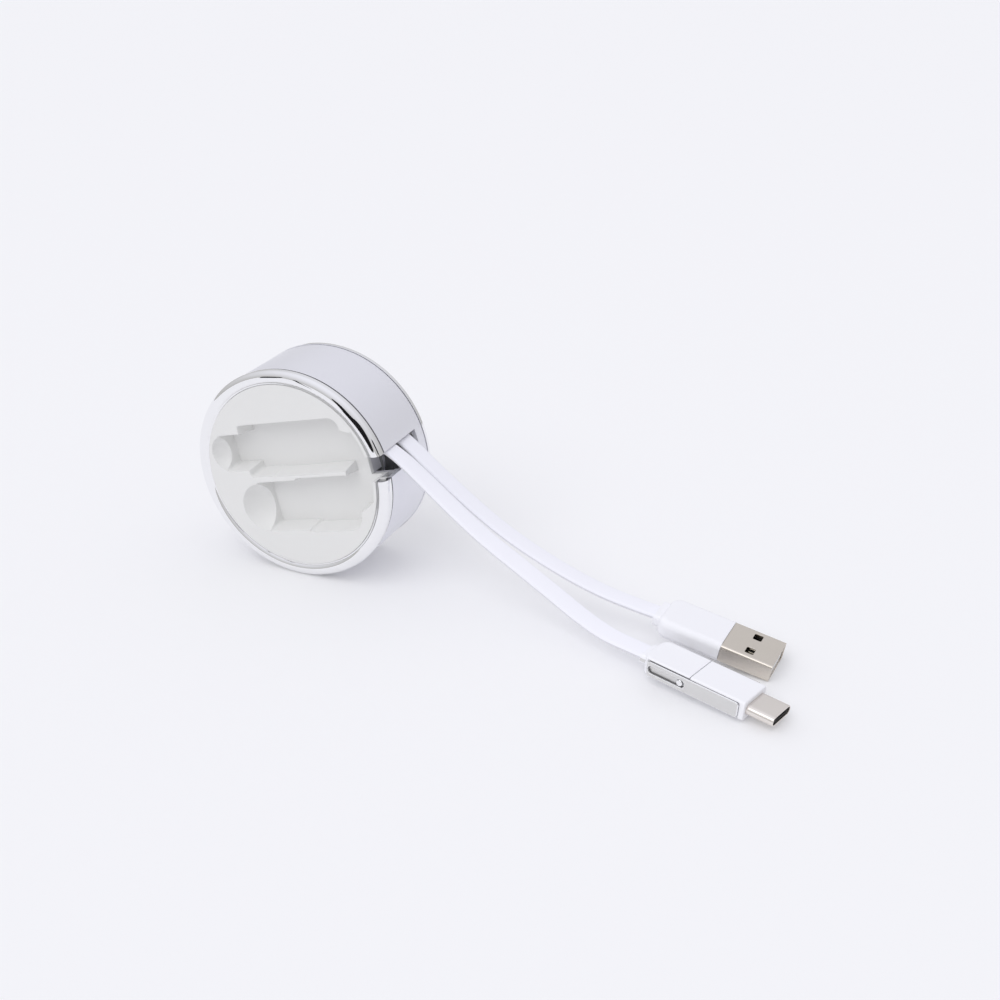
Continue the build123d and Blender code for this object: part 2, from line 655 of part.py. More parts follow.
def link(side):
    """Slotted chrome side plate that carries the cap along the pins."""
    plate = RectangleRounded(LINK_LENGTH, LINK_HEIGHT, LINK_ROUND)
    plate = Pos((link_rear + link_front) / 2, 0) * plate
    opening = SlotOverall(slot_front - slot_rear, 2 * slot_half)
    plate -= Pos((slot_front + slot_rear) / 2, 0) * opening
    solid = extrude(plate, LINK_THICK)
    outer_edges = solid.edges().group_by(Axis.Z)[-1]
    solid = chamfer(outer_edges, LINK_THICK / 5)
    return Pos(0, side * link_inner, 0) * Rot(-90 * side, 0, 0) * solid


# Ribbons

def arc_radii(points):
    """The largest comfortable arc at each corner of a route."""
    radii = []
    for before, corner, after in zip(points, points[1:], points[2:]):
        run_in = Vector(*corner) - Vector(*before)
        run_out = Vector(*after) - Vector(*corner)
        half_turn = radians(run_in.get_angle(run_out)) / 2
        radii.append(0.45 * min(run_in.length, run_out.length) / tan(half_turn))
    return radii


def run_on(points, by):
    """The route with its last run carried on, to be trimmed at the plug."""
    last = points[-1]
    before = points[-2]
    run = hypot(last[0] - before[0], last[1] - before[1])
    end = (last[0] + by * (last[0] - before[0]) / run, last[1] + by * (last[1] - before[1]) / run)
    return points[:-1] + [end]


def band(points, width):
    """A flat strip of the given width along a route of runs and arcs."""
    return trace(FilletPolyline(*points, radius=arc_radii(points)), line_width=width)


def ribbon(name, route, plug, rear):
    """A flat ribbon: its side view and its plan, each swept through the other, cut at the collar."""
    side_view = run_on([(x, z) for x, y, z in route], COLLAR_LENGTH)
    plan = run_on([(x, y) for x, y, z in route], COLLAR_LENGTH)
    plan = run_on(plan[::-1], COLLAR_LENGTH)[::-1]
    upright = extrude(Plane.XZ * band(side_view, RIBBON_THICK), FAR, both=True)
    flat = extrude(band(plan, RIBBON_WIDTH), 2 * FAR)
    reach = Box(FAR, FAR, FAR, align=(Align.MIN, Align.CENTER, Align.CENTER))
    solid = upright & flat - plug * Pos(rear - COLLAR_LENGTH, 0, 0) * reach
    radii = arc_radii(route)
    length = FilletPolyline(*route, radius=radii).length
    share = solid.volume / (length * RIBBON_WIDTH * RIBBON_THICK)
    print(name, "radii", [round(radius, 1) for radius in radii])
    print(name, "length", round(length, 1), "volume over section times length", round(share, 3))
    return solid


nodes = {
    "front_ring": REEL * front_ring(),
    "nest_panel": REEL * nest_panel(),
    "drum_wall": REEL * drum_wall(),
    "divider_plate": REEL * divider_plate(),
    "back_cover": REEL * back_cover(),
    "back_ring": REEL * back_ring(),
    "spool": REEL * spool(),
    "ribbon_winding": REEL * ribbon_winding(),
    "spiral_spring": REEL * spiral_spring(),
    "spring_cover": REEL * spring_cover(),
    "stop_ball": REEL * stop_ball(),
    "spindle_washer": REEL * spindle_washer(),
    "spindle_screw": REEL * spindle_screw(),
    "plug_a_grip": PLUG_A * plug_a_grip(),
    "plug_a_shell": PLUG_A * plug_a_shell(),
    "plug_a_tongue": PLUG_A * plug_a_tongue(),
    "plug_a_contacts": PLUG_A * plug_a_contacts(),
    "tip_grip": PLUG_C * tip_grip(),
    "tip_shell": PLUG_C * tip_shell(),
    "tip_tongue": PLUG_C * tip_tongue(),
    "link_pins": PLUG_C * link_pins(),
    "cap_body": PLUG_C * cap_body(),
    "cap_shell": PLUG_C * cap_shell(),
    "cap_core": PLUG_C * cap_core(),
    "link_near": PLUG_C * link(-1),
    "link_far": PLUG_C * link(1),
    "ribbon_a": ribbon("ribbon_a", ROUTE_A, PLUG_A, -A_GRIP_LENGTH),
    "ribbon_c": ribbon("ribbon_c", ROUTE_C, PLUG_C, tip_rear),
}

os.makedirs("parts", exist_ok=True)
for node, solid in nodes.items():
    export_step(solid, os.path.join("parts", node + ".step"))
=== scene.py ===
"""Looks of a retractable charging cable: a chrome-rimmed reel case, two flat ribbons and their plugs.

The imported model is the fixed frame. Each operator dresses one group of pieces, in metres, in the
frame's own axes: +Z up, the nest face looks to -Y and the ribbons leave to +X.
"""

import json
from math import acos, asin, cos, pi, radians, sin

import bmesh
import bpy
from bpy.props import FloatProperty, FloatVectorProperty, IntProperty, PointerProperty
from mathutils import Matrix, Vector

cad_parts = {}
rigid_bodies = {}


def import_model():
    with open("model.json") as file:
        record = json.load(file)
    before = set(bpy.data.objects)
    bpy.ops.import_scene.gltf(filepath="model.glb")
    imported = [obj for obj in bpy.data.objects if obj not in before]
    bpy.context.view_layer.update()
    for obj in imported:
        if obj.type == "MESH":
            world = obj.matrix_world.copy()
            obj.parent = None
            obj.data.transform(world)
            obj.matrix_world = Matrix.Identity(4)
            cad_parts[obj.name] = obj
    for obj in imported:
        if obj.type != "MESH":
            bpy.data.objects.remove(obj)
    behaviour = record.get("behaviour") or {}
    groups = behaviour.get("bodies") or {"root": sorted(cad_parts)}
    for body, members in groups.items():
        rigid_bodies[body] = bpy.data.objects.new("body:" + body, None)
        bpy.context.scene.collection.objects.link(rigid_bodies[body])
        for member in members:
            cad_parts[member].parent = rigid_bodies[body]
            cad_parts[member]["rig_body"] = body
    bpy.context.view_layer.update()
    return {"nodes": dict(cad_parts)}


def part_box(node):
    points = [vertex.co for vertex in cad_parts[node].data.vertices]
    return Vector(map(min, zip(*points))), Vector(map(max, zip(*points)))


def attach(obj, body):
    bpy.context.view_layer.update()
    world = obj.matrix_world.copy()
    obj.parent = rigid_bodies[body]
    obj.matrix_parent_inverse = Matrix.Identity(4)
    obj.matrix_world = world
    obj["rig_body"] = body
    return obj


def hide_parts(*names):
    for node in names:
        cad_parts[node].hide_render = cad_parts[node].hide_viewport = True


bl_info = {
    "name": "Retractable charging cable",
    "version": (1, 0, 0),
    "blender": (4, 5, 0),
    "location": "View3D > Sidebar > Cable",
    "description": "Dresses the reel case, ribbons and plugs of a retractable charging cable",
    "category": "Object",
}

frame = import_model()

# Routes of the ribbons' centre lines, in metres, from inside the slot to the plugs
ROUTE_A = [
    (0.0080, 0.00335, 0.04655),
    (0.0170, 0.00340, 0.04275),
    (0.0260, 0.00275, 0.03775),
    (0.0345, 0.00180, 0.03170),
    (0.0435, 0.00085, 0.02575),
    (0.0530, -0.00050, 0.02035),
    (0.0630, -0.00170, 0.01600),
    (0.0735, -0.00270, 0.01225),
    (0.0830, -0.00340, 0.00970),
    (0.0910, -0.00387, 0.00840),
    (0.0975, -0.00424, 0.00767),
]
ROUTE_C = [
    (0.0190, -0.00505, 0.04135),
    (0.0262, -0.00490, 0.03835),
    (0.0345, -0.00560, 0.03275),
    (0.0435, -0.00675, 0.02655),
    (0.0530, -0.00815, 0.02067),
    (0.0630, -0.00950, 0.01572),
    (0.0730, -0.01120, 0.01100),
    (0.0815, -0.01305, 0.00715),
    (0.0885, -0.01485, 0.00510),
    (0.0945, -0.01660, 0.00495),
    (0.0998, -0.01816, 0.00477),
]

# Dark shapes of the room that the chrome shows: metres in front of the ring, then corners (x, z)
STREAK_SHADE = 0.030, [
    (0.0010, 0.0335),
    (0.0060, 0.0315),
    (0.0120, 0.0295),
    (0.0160, 0.0305),
    (0.0210, 0.0323),
    (0.0260, 0.0348),
    (0.0310, 0.0365),
    (0.0360, 0.0400),
    (0.0400, 0.0460),
    (0.0430, 0.0540),
    (0.0440, 0.0600),
    (0.0420, 0.0640),
    (0.0360, 0.0635),
    (0.0300, 0.0610),
    (0.0270, 0.0585),
    (0.0225, 0.0580),
    (0.0210, 0.0610),
    (0.0195, 0.0650),
    (0.0140, 0.0670),
    (0.0110, 0.0640),
    (0.0090, 0.0580),
    (0.0085, 0.0520),
    (0.0065, 0.0460),
    (0.0040, 0.0410),
    (0.0010, 0.0380),
]
BROW_SHADE = 0.030, [
    (-0.0130, 0.0620),
    (-0.0122, 0.0500),
    (-0.0115, 0.0410),
    (-0.0098, 0.0410),
    (-0.0098, 0.0500),
    (-0.0103, 0.0620),
]
CREST_SHADE = 0.030, [
    (-0.0310, 0.0550),
    (-0.0300, 0.0520),
    (-0.0280, 0.0490),
    (-0.0250, 0.0465),
    (-0.0220, 0.0490),
    (-0.0195, 0.0550),
    (-0.0185, 0.0620),
    (-0.0200, 0.0640),
    (-0.0225, 0.0600),
    (-0.0250, 0.0580),
    (-0.0280, 0.0585),
    (-0.0310, 0.0590),
]
SIDE_SHADE = 0.100, [(0.180, 0.068), (0.180, 0.103), (0.245, 0.148), (0.421, 0.215), (0.421, 0.107)]

# Names of the pieces on each ribbon, and of the metal ones that gleam
PLUG_A_PIECES = ("grip_a", "shell_a", "tongue_a", "contacts_a")
TIP_PIECES = ("tip_body", "flat_tip", "tip_insulator", "guide_pins")
CAP_PIECES = ("cap", "oval_shell", "oval_core", "side_plate_near", "side_plate_far")
GLEAMING_PIECES = ("shell_a", "flat_tip", "guide_pins", "oval_shell", "side_plate_near", "side_plate_far")

# Relief of the finishes in metres, and the samples of an edge that is softened in its finish
PLASTIC_RELIEF = 0.00002
METAL_RELIEF = 0.00001
SOFT_EDGE_SAMPLES = 8

# Clouds and grain of a moulded skin, with the clouds' share in its colour and in its roughness
CLOUD_SIZE = 160.0
CLOUD_DETAIL = 3.0
GRAIN_DETAIL = 2.0
CLOUD_IN_COLOUR = 0.5
CLOUD_IN_ROUGHNESS = 0.18

# Streaks and smears of a metal
STREAK_DETAIL = 4.0
SMEAR_SIZE = 140.0

# Meshes: points closer than this are one, and where a turn counts as flat, as sharp or as a whole ring
WELD_DISTANCE = 0.000001
FLAT_ANGLE = radians(0.6)
SHARP_ANGLE = radians(28)
WHOLE_TURN_WITHIN = 1e-9

# Divisions of rounded edges, of the front ring's crest, of the rear ring's edge and of the ribbons
EDGE_STEPS = 3
CREST_STEPS = 28
REAR_EDGE_STEPS = 8
RIBBON_CORNER_STEPS = 5
SPLINE_STEPS = 10

# Strips of a ribbon's section at its sides and lower corners, painted in shade; counted from its upper far
# corner
RIBBON_SHADED_STRIPS = (*range(11, 15), *range(20, 24))

# How square to a direction a face lies that looks along it
PLATE_SQUARE = 0.995
RECESS_SQUARE = 0.98
NOSE_SQUARE = 0.9

# Half a side plate's thickness, and how far behind its middle a recess's floor begins, in metres
PLATE_HALF = 0.0003
RECESS_BEHIND = 0.00025

# Camera sensor in millimetres, its nearest view and half the table top's width, in metres
SENSOR_WIDTH = 36.0
NEAREST_VIEW = 0.01
TABLE_HALF = 4.0

# Spread of the soft suns, their tilt to the front from overhead and their turn to the left
SUN_SPREAD = radians(50)
SUN_TILT = radians(40)
SUN_TURN = radians(-15)


def length(title, about, value):
    """A size in metres that a user may change."""
    return FloatProperty(name=title, description=about, default=value, min=0.0, unit="LENGTH", precision=5)


def offset(title, about, value):
    """A place in metres, on either side of its line, that a user may change."""
    return FloatProperty(name=title, description=about, default=value, unit="LENGTH", precision=5)


def angle(title, about, degrees):
    """An angle that a user may change."""
    return FloatProperty(name=title, description=about, default=radians(degrees), subtype="ANGLE")


def strength(title, about, value):
    """A light's strength that a user may change."""
    return FloatProperty(name=title, description=about, default=value, min=0.0)


def colour(title, about, value):
    """A colour that a user may change."""
    return FloatVectorProperty(
        name=title, description=about, default=value, size=3, min=0.0, max=1.0, subtype="COLOR"
    )


class CaseLook(bpy.types.PropertyGroup):
    """Sizes and colours of the reel case and the reel."""

    ring_width: length("Ring width", "Width of the front ring, across its bullnose", 0.0034)
    ring_shoulder: length("Ring shoulder", "Depth where the bullnose begins, behind the panel", 0.0009)
    ring_sheet: length("Ring sheet", "Thickness of the front ring's sheet", 0.00055)
    ring_crest: length("Ring crest", "How far the ring stands in front of the panel", 0.0004)
    lip_depth: length("Lip depth", "Depth of the ring's inner ledge, behind the panel's face", 0.00025)
    rim_shadow: length("Rim shadow", "Width of the painted shadow beside the front ring", 0.0006)
    slot_low: offset("Slot low edge", "Slot's lower edge, across the nests", -0.0028)
    slot_high: offset("Slot high edge", "Slot's upper edge, across the nests", 0.00385)
    nest_tilt: angle("Nest tilt", "Turn of the nests and slot in the face", 14)
    seam: length("Seam", "Dark seam between the sleeve and each ring", 0.00015)
    back_round: length("Rear ring rounding", "Rounding of the rear ring's outer edge", 0.00045)
    panel_edge: length("Panel edge", "Soft rounding of the moulded face's edges, in its finish", 0.00035)
    back_edge: length("Back edge", "Rounding of the moulded face's and back's edges", 0.00014)
    wall_edge: length("Wall edge", "Rounding of the sleeve's edges", 0.00008)
    steps: IntProperty(
        name="Ring steps", description="Divisions around a ring", default=240, min=48, max=720
    )
    panel: colour("Panel", "Moulded face and back", (0.805, 0.805, 0.795))
    sleeve: colour("Sleeve", "Satin silver wall", (0.855, 0.855, 0.905))
    chrome: colour("Chrome", "Plated rings and links", (0.93, 0.93, 0.94))
    inside: colour("Inside", "Divider behind the nests", (0.58, 0.58, 0.61))
    # Painted shadow on the sleeve's front edge, beside the front ring
    rim_shadow_colour: colour("Rim shadow colour", "Painted shadow where the sleeve meets the front ring", (0.10, 0.10, 0.11))
    reel: colour("Reel", "Moulded spool", (0.33, 0.34, 0.34))
    steel: colour("Steel", "Spring, washer and screw", (0.45, 0.45, 0.46))


class PlugLook(bpy.types.PropertyGroup):
    """Sizes and colours of the ribbons and plugs."""

    ribbon_width: length("Ribbon width", "Width of a ribbon", 0.0052)
    ribbon_thick: length("Ribbon thickness", "Thickness of a ribbon", 0.0012)
    ribbon_round: length("Ribbon rounding", "Rounding of a ribbon's edges", 0.0005)
    grip_edge: length("Grip edge", "Rounding of the two-in-one plug's sharp edges", 0.00015)
    shell_edge: length("Shell edge", "Rounding of sheet metal edges", 0.00009)
    collar_length: length("Collar length", "Length of the neck where a ribbon enters a plug", 0.0015)
    collar_sink: length("Collar sink", "How far a collar runs into the rounded end of its plug", 0.0003)
    link_gap_shadow: length("Link gap shadow", "Painted gap shadow on a side plate's flanks, from its inner face", 0.00042)
    link_edge: length("Link edge", "Rounding of the side plates' edges", 0.00010)
    ribbon: colour("Ribbon", "Flexible ribbon sleeve", (0.925, 0.925, 0.985))
    ribbon_side_shade: colour("Ribbon side shade", "Painted shade on the ribbons' side edges", (0.76, 0.76, 0.80))
    lean: angle("Lean", "Turn of the nearer ribbon about its own line", 8)
    grip: colour("Grip", "Moulded plug bodies", (0.925, 0.925, 0.96))
    nickel: colour("Nickel", "Type A shell", (0.76, 0.705, 0.634))
    pale_nickel: colour("Pale nickel", "Type C shell and small tip", (0.87, 0.822, 0.775))
    link: colour("Link face", "Satin faces of the side plates", (0.765, 0.76, 0.75))
    white_core: colour("White core", "Nose of the type A plug's insulator", (0.85, 0.85, 0.86))
    insulator: colour("Insulator", "Plastic inside the plugs, and painted cavity shade on the type A tongue", (0.015, 0.015, 0.016))
    contact: colour("Contact", "Plated contacts", (0.80, 0.72, 0.58))


class StageLook(bpy.types.PropertyGroup):
    """Camera, light and floor."""

    azimuth: angle("Azimuth", "Camera's turn to the left, from looking along +Y", 24.064)
    elevation: angle("Elevation", "Camera's tilt down", 26.225)
    place: FloatVectorProperty(
        name="Camera",
        description="Where the camera stands",
        default=(0.177875, -0.27810, 0.177415),
        subtype="XYZ",
    )
    lens: FloatProperty(name="Lens", description="Focal length in millimetres", default=48.87, min=1.0)
    floor: colour("Floor", "Pale table top", (0.80, 0.80, 0.807))
    glow: colour("Floor glow", "Soft light of the table top itself", (0.957, 0.957, 1.0))
    glow_strength: strength("Glow strength", "How bright the glow is", 0.129)
    backdrop: colour("Backdrop", "Pale wall behind the table top", (0.896, 0.896, 0.939))
    low_sky: colour("Low surround", "Soft light from the sides", (0.50, 0.497, 0.49))
    high_sky: colour("High surround", "Soft light from above, before its strength", (0.93, 0.935, 1.0))
    sky_strength: strength("Strength above", "How bright the light above is", 0.97)
    shade: colour("Room shade", "Dark parts of the room, seen in the chrome", (0.006, 0.006, 0.007))
    key_strength: strength("Key strength", "Soft light from above", 0.85)
    glint_strength: strength("Glint strength", "Gleam on the plugs' metal", 0.45)


# Node groups that several finishes share


def group_inputs(tree, sockets):
    """Adds named float or colour inputs to a node group."""
    for title, kind, value in sockets:
        socket = tree.interface.new_socket(name=title, in_out="INPUT", socket_type=kind)
        socket.default_value = value


def group_outputs(tree, sockets):
    """Adds named outputs to a node group."""
    for title, kind in sockets:
        tree.interface.new_socket(name=title, in_out="OUTPUT", socket_type=kind)


def math_node(tree, operation, first, second):
    """A math node fed by sockets or plain numbers."""
    node = tree.nodes.new("ShaderNodeMath")
    node.operation = operation
    for socket, value in zip(node.inputs, (first, second)):
        if isinstance(value, (int, float)):
            socket.default_value = value
        else:
            tree.links.new(value, socket)
    return node.outputs[0]


def moulded_skin():
    """Group: faint cloudiness, fine grain and handling marks of a moulded plastic or rubber."""
    found = bpy.data.node_groups.get("Moulded skin")
    if found:
        return found
    tree = bpy.data.node_groups.new("Moulded skin", "ShaderNodeTree")
    group_inputs(
        tree,
        [
            ("Colour", "NodeSocketColor", (0.8, 0.8, 0.8, 1.0)),
            ("Shade", "NodeSocketColor", (0.7, 0.7, 0.7, 1.0)),
            ("Roughness", "NodeSocketFloat", 0.5),
            ("Cloud size", "NodeSocketFloat", 180.0),
            ("Grain size", "NodeSocketFloat", 5000.0),
        ],
    )
    group_outputs(
        tree,
        [("Colour", "NodeSocketColor"), ("Roughness", "NodeSocketFloat"), ("Height", "NodeSocketFloat")],
    )
    given = tree.nodes.new("NodeGroupInput")
    place = tree.nodes.new("ShaderNodeTexCoord")
    cloud = tree.nodes.new("ShaderNodeTexNoise")
    cloud.inputs["Detail"].default_value = CLOUD_DETAIL
    grain = tree.nodes.new("ShaderNodeTexNoise")
    grain.inputs["Detail"].default_value = GRAIN_DETAIL
    for noise, size in ((cloud, "Cloud size"), (grain, "Grain size")):
        tree.links.new(place.outputs["Object"], noise.inputs["Vector"])
        tree.links.new(given.outputs[size], noise.inputs["Scale"])
    share = math_node(tree, "MULTIPLY", cloud.outputs["Fac"], CLOUD_IN_COLOUR)
    mix = tree.nodes.new("ShaderNodeMix")
    mix.data_type = "RGBA"
    tree.links.new(share, mix.inputs["Factor"])
    tree.links.new(given.outputs["Colour"], mix.inputs["A"])
    tree.links.new(given.outputs["Shade"], mix.inputs["B"])
    centred = math_node(tree, "SUBTRACT", cloud.outputs["Fac"], 0.5)
    wander = math_node(tree, "MULTIPLY", centred, CLOUD_IN_ROUGHNESS)
    made = tree.nodes.new("NodeGroupOutput")
    tree.links.new(mix.outputs["Result"], made.inputs["Colour"])
    tree.links.new(math_node(tree, "ADD", given.outputs["Roughness"], wander), made.inputs["Roughness"])
    tree.links.new(grain.outputs["Fac"], made.inputs["Height"])
    return tree


def metal_grain():
    """Group: drawn or polished metal, with streaks along one axis and faint smears."""
    found = bpy.data.node_groups.get("Metal grain")
    if found:
        return found
    tree = bpy.data.node_groups.new("Metal grain", "ShaderNodeTree")
    group_inputs(
        tree,
        [
            ("Colour", "NodeSocketColor", (0.8, 0.8, 0.8, 1.0)),
            ("Shade", "NodeSocketColor", (0.6, 0.6, 0.6, 1.0)),
            ("Roughness", "NodeSocketFloat", 0.2),
            ("Spread", "NodeSocketFloat", 0.1),
            ("Stretch", "NodeSocketVector", (1.0, 1.0, 1.0)),
            ("Size", "NodeSocketFloat", 1500.0),
        ],
    )
    group_outputs(
        tree,
        [("Colour", "NodeSocketColor"), ("Roughness", "NodeSocketFloat"), ("Height", "NodeSocketFloat")],
    )
    given = tree.nodes.new("NodeGroupInput")
    place = tree.nodes.new("ShaderNodeTexCoord")
    drawn = tree.nodes.new("ShaderNodeVectorMath")
    drawn.operation = "MULTIPLY"
    tree.links.new(place.outputs["Object"], drawn.inputs[0])
    tree.links.new(given.outputs["Stretch"], drawn.inputs[1])
    streak = tree.nodes.new("ShaderNodeTexNoise")
    streak.inputs["Detail"].default_value = STREAK_DETAIL
    tree.links.new(drawn.outputs["Vector"], streak.inputs["Vector"])
    tree.links.new(given.outputs["Size"], streak.inputs["Scale"])
    smear = tree.nodes.new("ShaderNodeTexNoise")
    smear.inputs["Scale"].default_value = SMEAR_SIZE
    tree.links.new(place.outputs["Object"], smear.inputs["Vector"])
    mix = tree.nodes.new("ShaderNodeMix")
    mix.data_type = "RGBA"
    share = math_node(tree, "MULTIPLY", smear.outputs["Fac"], streak.outputs["Fac"])
    tree.links.new(share, mix.inputs["Factor"])
    tree.links.new(given.outputs["Colour"], mix.inputs["A"])
    tree.links.new(given.outputs["Shade"], mix.inputs["B"])
    blend = math_node(tree, "ADD", streak.outputs["Fac"], smear.outputs["Fac"])
    swing = math_node(tree, "MULTIPLY", math_node(tree, "SUBTRACT", blend, 1.0), given.outputs["Spread"])
    made = tree.nodes.new("NodeGroupOutput")
    tree.links.new(mix.outputs["Result"], made.inputs["Colour"])
    tree.links.new(math_node(tree, "ADD", given.outputs["Roughness"], swing), made.inputs["Roughness"])
    tree.links.new(streak.outputs["Fac"], made.inputs["Height"])
    return tree


# Finishes


def finish_from(name, group, values, relief, reach, soft=0.0):
    """A material whose colour, roughness and bump come from a group; soft rounds the look of its edges."""
    found = bpy.data.materials.get(name)
    if found:
        return found
    material = bpy.data.materials.new(name)
    material.use_nodes = True
    tree = material.node_tree
    shader = tree.nodes["Principled BSDF"]
    source = tree.nodes.new("ShaderNodeGroup")
    source.node_tree = group
    for title, value in values.items():
        source.inputs[title].default_value = value
    tree.links.new(source.outputs["Colour"], shader.inputs["Base Color"])
    tree.links.new(source.outputs["Roughness"], shader.inputs["Roughness"])
    bump = tree.nodes.new("ShaderNodeBump")
    bump.inputs["Strength"].default_value = relief
    bump.inputs["Distance"].default_value = reach
    tree.links.new(source.outputs["Height"], bump.inputs["Height"])
    tree.links.new(bump.outputs["Normal"], shader.inputs["Normal"])
    if soft:
        edge = tree.nodes.new("ShaderNodeBevel")
        edge.samples = SOFT_EDGE_SAMPLES
        edge.inputs["Radius"].default_value = soft
        tree.links.new(edge.outputs["Normal"], bump.inputs["Normal"])
    return material


def tone(rgb, by=1.0):
    """A colour as four numbers, made lighter or darker."""
    return (rgb[0] * by, rgb[1] * by, rgb[2] * by, 1.0)


def shader_of(material):
    """The surface shader of a material."""
    return material.node_tree.nodes["Principled BSDF"]


def plastic(name, rgb, roughness, shade=0.93, relief=0.12, grain=6000.0, sheen=0.3, soft=0.0):
    """Moulded plastic or rubber."""
    values = {
        "Colour": tone(rgb),
        "Shade": tone(rgb, shade),
        "Roughness": roughness,
        "Cloud size": CLOUD_SIZE,
        "Grain size": grain,
    }
    material = finish_from(name, moulded_skin(), values, relief, PLASTIC_RELIEF, soft)
    shader_of(material).inputs["Specular IOR Level"].default_value = sheen
    return material


def metal(
    name, rgb, roughness, spread, drawn=(1.0, 1.0, 1.0), size=1500.0, relief=0.05, shade=0.9, bare=1.0
):
    """Plated, drawn or painted metal; drawn stretches its streaks, and bare is how far it is bare metal."""
    values = {
        "Colour": tone(rgb),
        "Shade": tone(rgb, shade),
        "Roughness": roughness,
        "Spread": spread,
        "Stretch": drawn,
        "Size": size,
    }
    material = finish_from(name, metal_grain(), values, relief, METAL_RELIEF)
    shader_of(material).inputs["Metallic"].default_value = bare
    return material


def chrome_finish(case):
    """Bright plating of the rings, pins and links."""
    return metal(
        "Bright chrome", case.chrome, roughness=0.045, spread=0.03, size=900.0, relief=0.01, shade=0.97
    )


def ribbon_finish(plugs):
    """Smooth white sleeve of the ribbons."""
    return plastic(
        "White ribbon sleeve",
        plugs.ribbon,
        roughness=0.40,
        shade=0.97,
        relief=0.06,
        grain=9000.0,
        sheen=0.4,
    )


def ribbon_shade_finish(plugs):
    """Darker, duller sides and lower corners of the ribbons: painted shade."""
    return plastic("Ribbon side shade", plugs.ribbon_side_shade, roughness=0.55, shade=0.95, relief=0.06, grain=9000.0)


def grip_finish(plugs):
    """Matte white plug body."""
    return plastic("White plug grip", plugs.grip, roughness=0.46, shade=0.97, relief=0.10, grain=7000.0)


def nickel_finish(plugs):
    """Warm plated shell, faintly drawn along its length."""
    return metal(
        "Nickel shell", plugs.nickel, roughness=0.24, spread=0.10, drawn=(0.25, 1.0, 1.0), size=2600.0
    )


def pale_nickel_finish(plugs):
    """Brighter plated shell of the type C plug and the small tip."""
    return metal(
        "Pale nickel shell",
        plugs.pale_nickel,
        roughness=0.22,
        spread=0.08,
        drawn=(0.25, 1.0, 1.0),
        size=2600.0,
        relief=0.04,
        shade=0.93,
    )


def insulator_and_shade_finish(plugs):
    """Black plastic inside the plugs, also painted on the type A tongue as the shade of its cavity."""
    return plastic("Black insulator and cavity shade", plugs.insulator, roughness=0.5, shade=0.7)


# Meshes


def add_object(name, mesh, *materials):
    """Puts a mesh in the scene with its finishes."""
    for material in materials:
        mesh.materials.append(material)
    piece = bpy.data.objects.new(name, mesh)
    bpy.context.scene.collection.objects.link(piece)
    return piece


def smooth_mesh(name, shape, crease=40.0):
    """A mesh from a bmesh, smooth but for edges sharper than the crease."""
    mesh = bpy.data.meshes.new(name)
    bmesh.ops.recalc_face_normals(shape, faces=shape.faces)
    shape.to_mesh(mesh)
    shape.free()
    mesh.polygons.foreach_set("use_smooth", [True] * len(mesh.polygons))
    mesh.set_sharp_from_angle(angle=radians(crease))
    return mesh


def softened(node, name, rounding, *materials, change=None, clamp=False):
    """A copy of a CAD node that stands for it, its sharp edges rounded; change may work on it first."""
    shape = bmesh.new()
    shape.from_mesh(frame["nodes"][node].data)
    bmesh.ops.remove_doubles(shape, verts=shape.verts, dist=WELD_DISTANCE)
    bmesh.ops.dissolve_limit(shape, angle_limit=FLAT_ANGLE, verts=shape.verts, edges=shape.edges)
    if change:
        change(shape)
    round_edges(shape, sharp_edges(shape), rounding, clamp)
    piece = add_object(name, smooth_mesh(name, shape), *materials)
    even = piece.modifiers.new("Even normals", "WEIGHTED_NORMAL")
    even.keep_sharp = True
    return settle(piece, node)


def sharp_edges(shape):
    """Edges of a mesh that turn by more than a smooth surface's step."""
    return [edge for edge in shape.edges if edge.is_manifold and edge.calc_face_angle() > SHARP_ANGLE]


def round_edges(shape, edges, by, clamp):
    """Rounds the given edges of a mesh; clamped, by no more than its smallest facets allow."""
    bmesh.ops.bevel(
        shape,
        geom=edges,
        offset=by,
        offset_type="OFFSET",
        segments=EDGE_STEPS,
        profile=0.5,
        affect="EDGES",
        clamp_overlap=clamp,
    )


def sunk_collar(look, route):
    """Gives the change that runs a plug's collar on into its body, along the ribbon's last run."""
    along = (Vector(route[-1]) - Vector(route[-2])).normalized()

    def change(shape):
        rear = min(vert.co.dot(along) for vert in shape.verts)
        outward = [edge for edge in sharp_edges(shape) if edge.calc_face_angle_signed() > 0]
        for vert in {vert for edge in outward for vert in edge.verts}:
            if abs(vert.co.dot(along) - rear - look.collar_length) < look.collar_sink:
                vert.co += along * look.collar_sink

    return change


def settle(piece, node):
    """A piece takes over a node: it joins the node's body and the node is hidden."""
    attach(piece, frame["nodes"][node]["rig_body"])
    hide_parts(node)
    return piece


def dress(node, material):
    """Gives a CAD node a finish in place of its plain one."""
    mesh = frame["nodes"][node].data
    mesh.materials.clear()
    mesh.materials.append(material)


def reel_axis():
    """Height of the reel's axis above the floor."""
    low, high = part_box("back_ring")
    return (low.z + high.z) / 2


def swept_ring(profile, steps, ends):
    """Turns a profile of (radius, depth) about the reel's axis; ends gives each radius its two angles."""
    height = reel_axis()
    shape = bmesh.new()
    rows = []
    for radius, depth in profile:
        start, stop = ends(radius)
        closed = abs(stop - start - 2 * pi) < WHOLE_TURN_WITHIN
        count = steps if closed else steps + 1
        row = []
        for step in range(count):
            turn = start + (stop - start) * step / steps
            row.append(shape.verts.new((radius * cos(turn), depth, height + radius * sin(turn))))
        rows.append(row)
    for first, second in zip(rows, rows[1:] + rows[:1]):
        pairs = list(zip(first, second))
        if closed:
            pairs.append(pairs[0])
        for (a, b), (c, d) in zip(pairs, pairs[1:]):
            shape.faces.new((a, b, d, c))
    return shape, rows


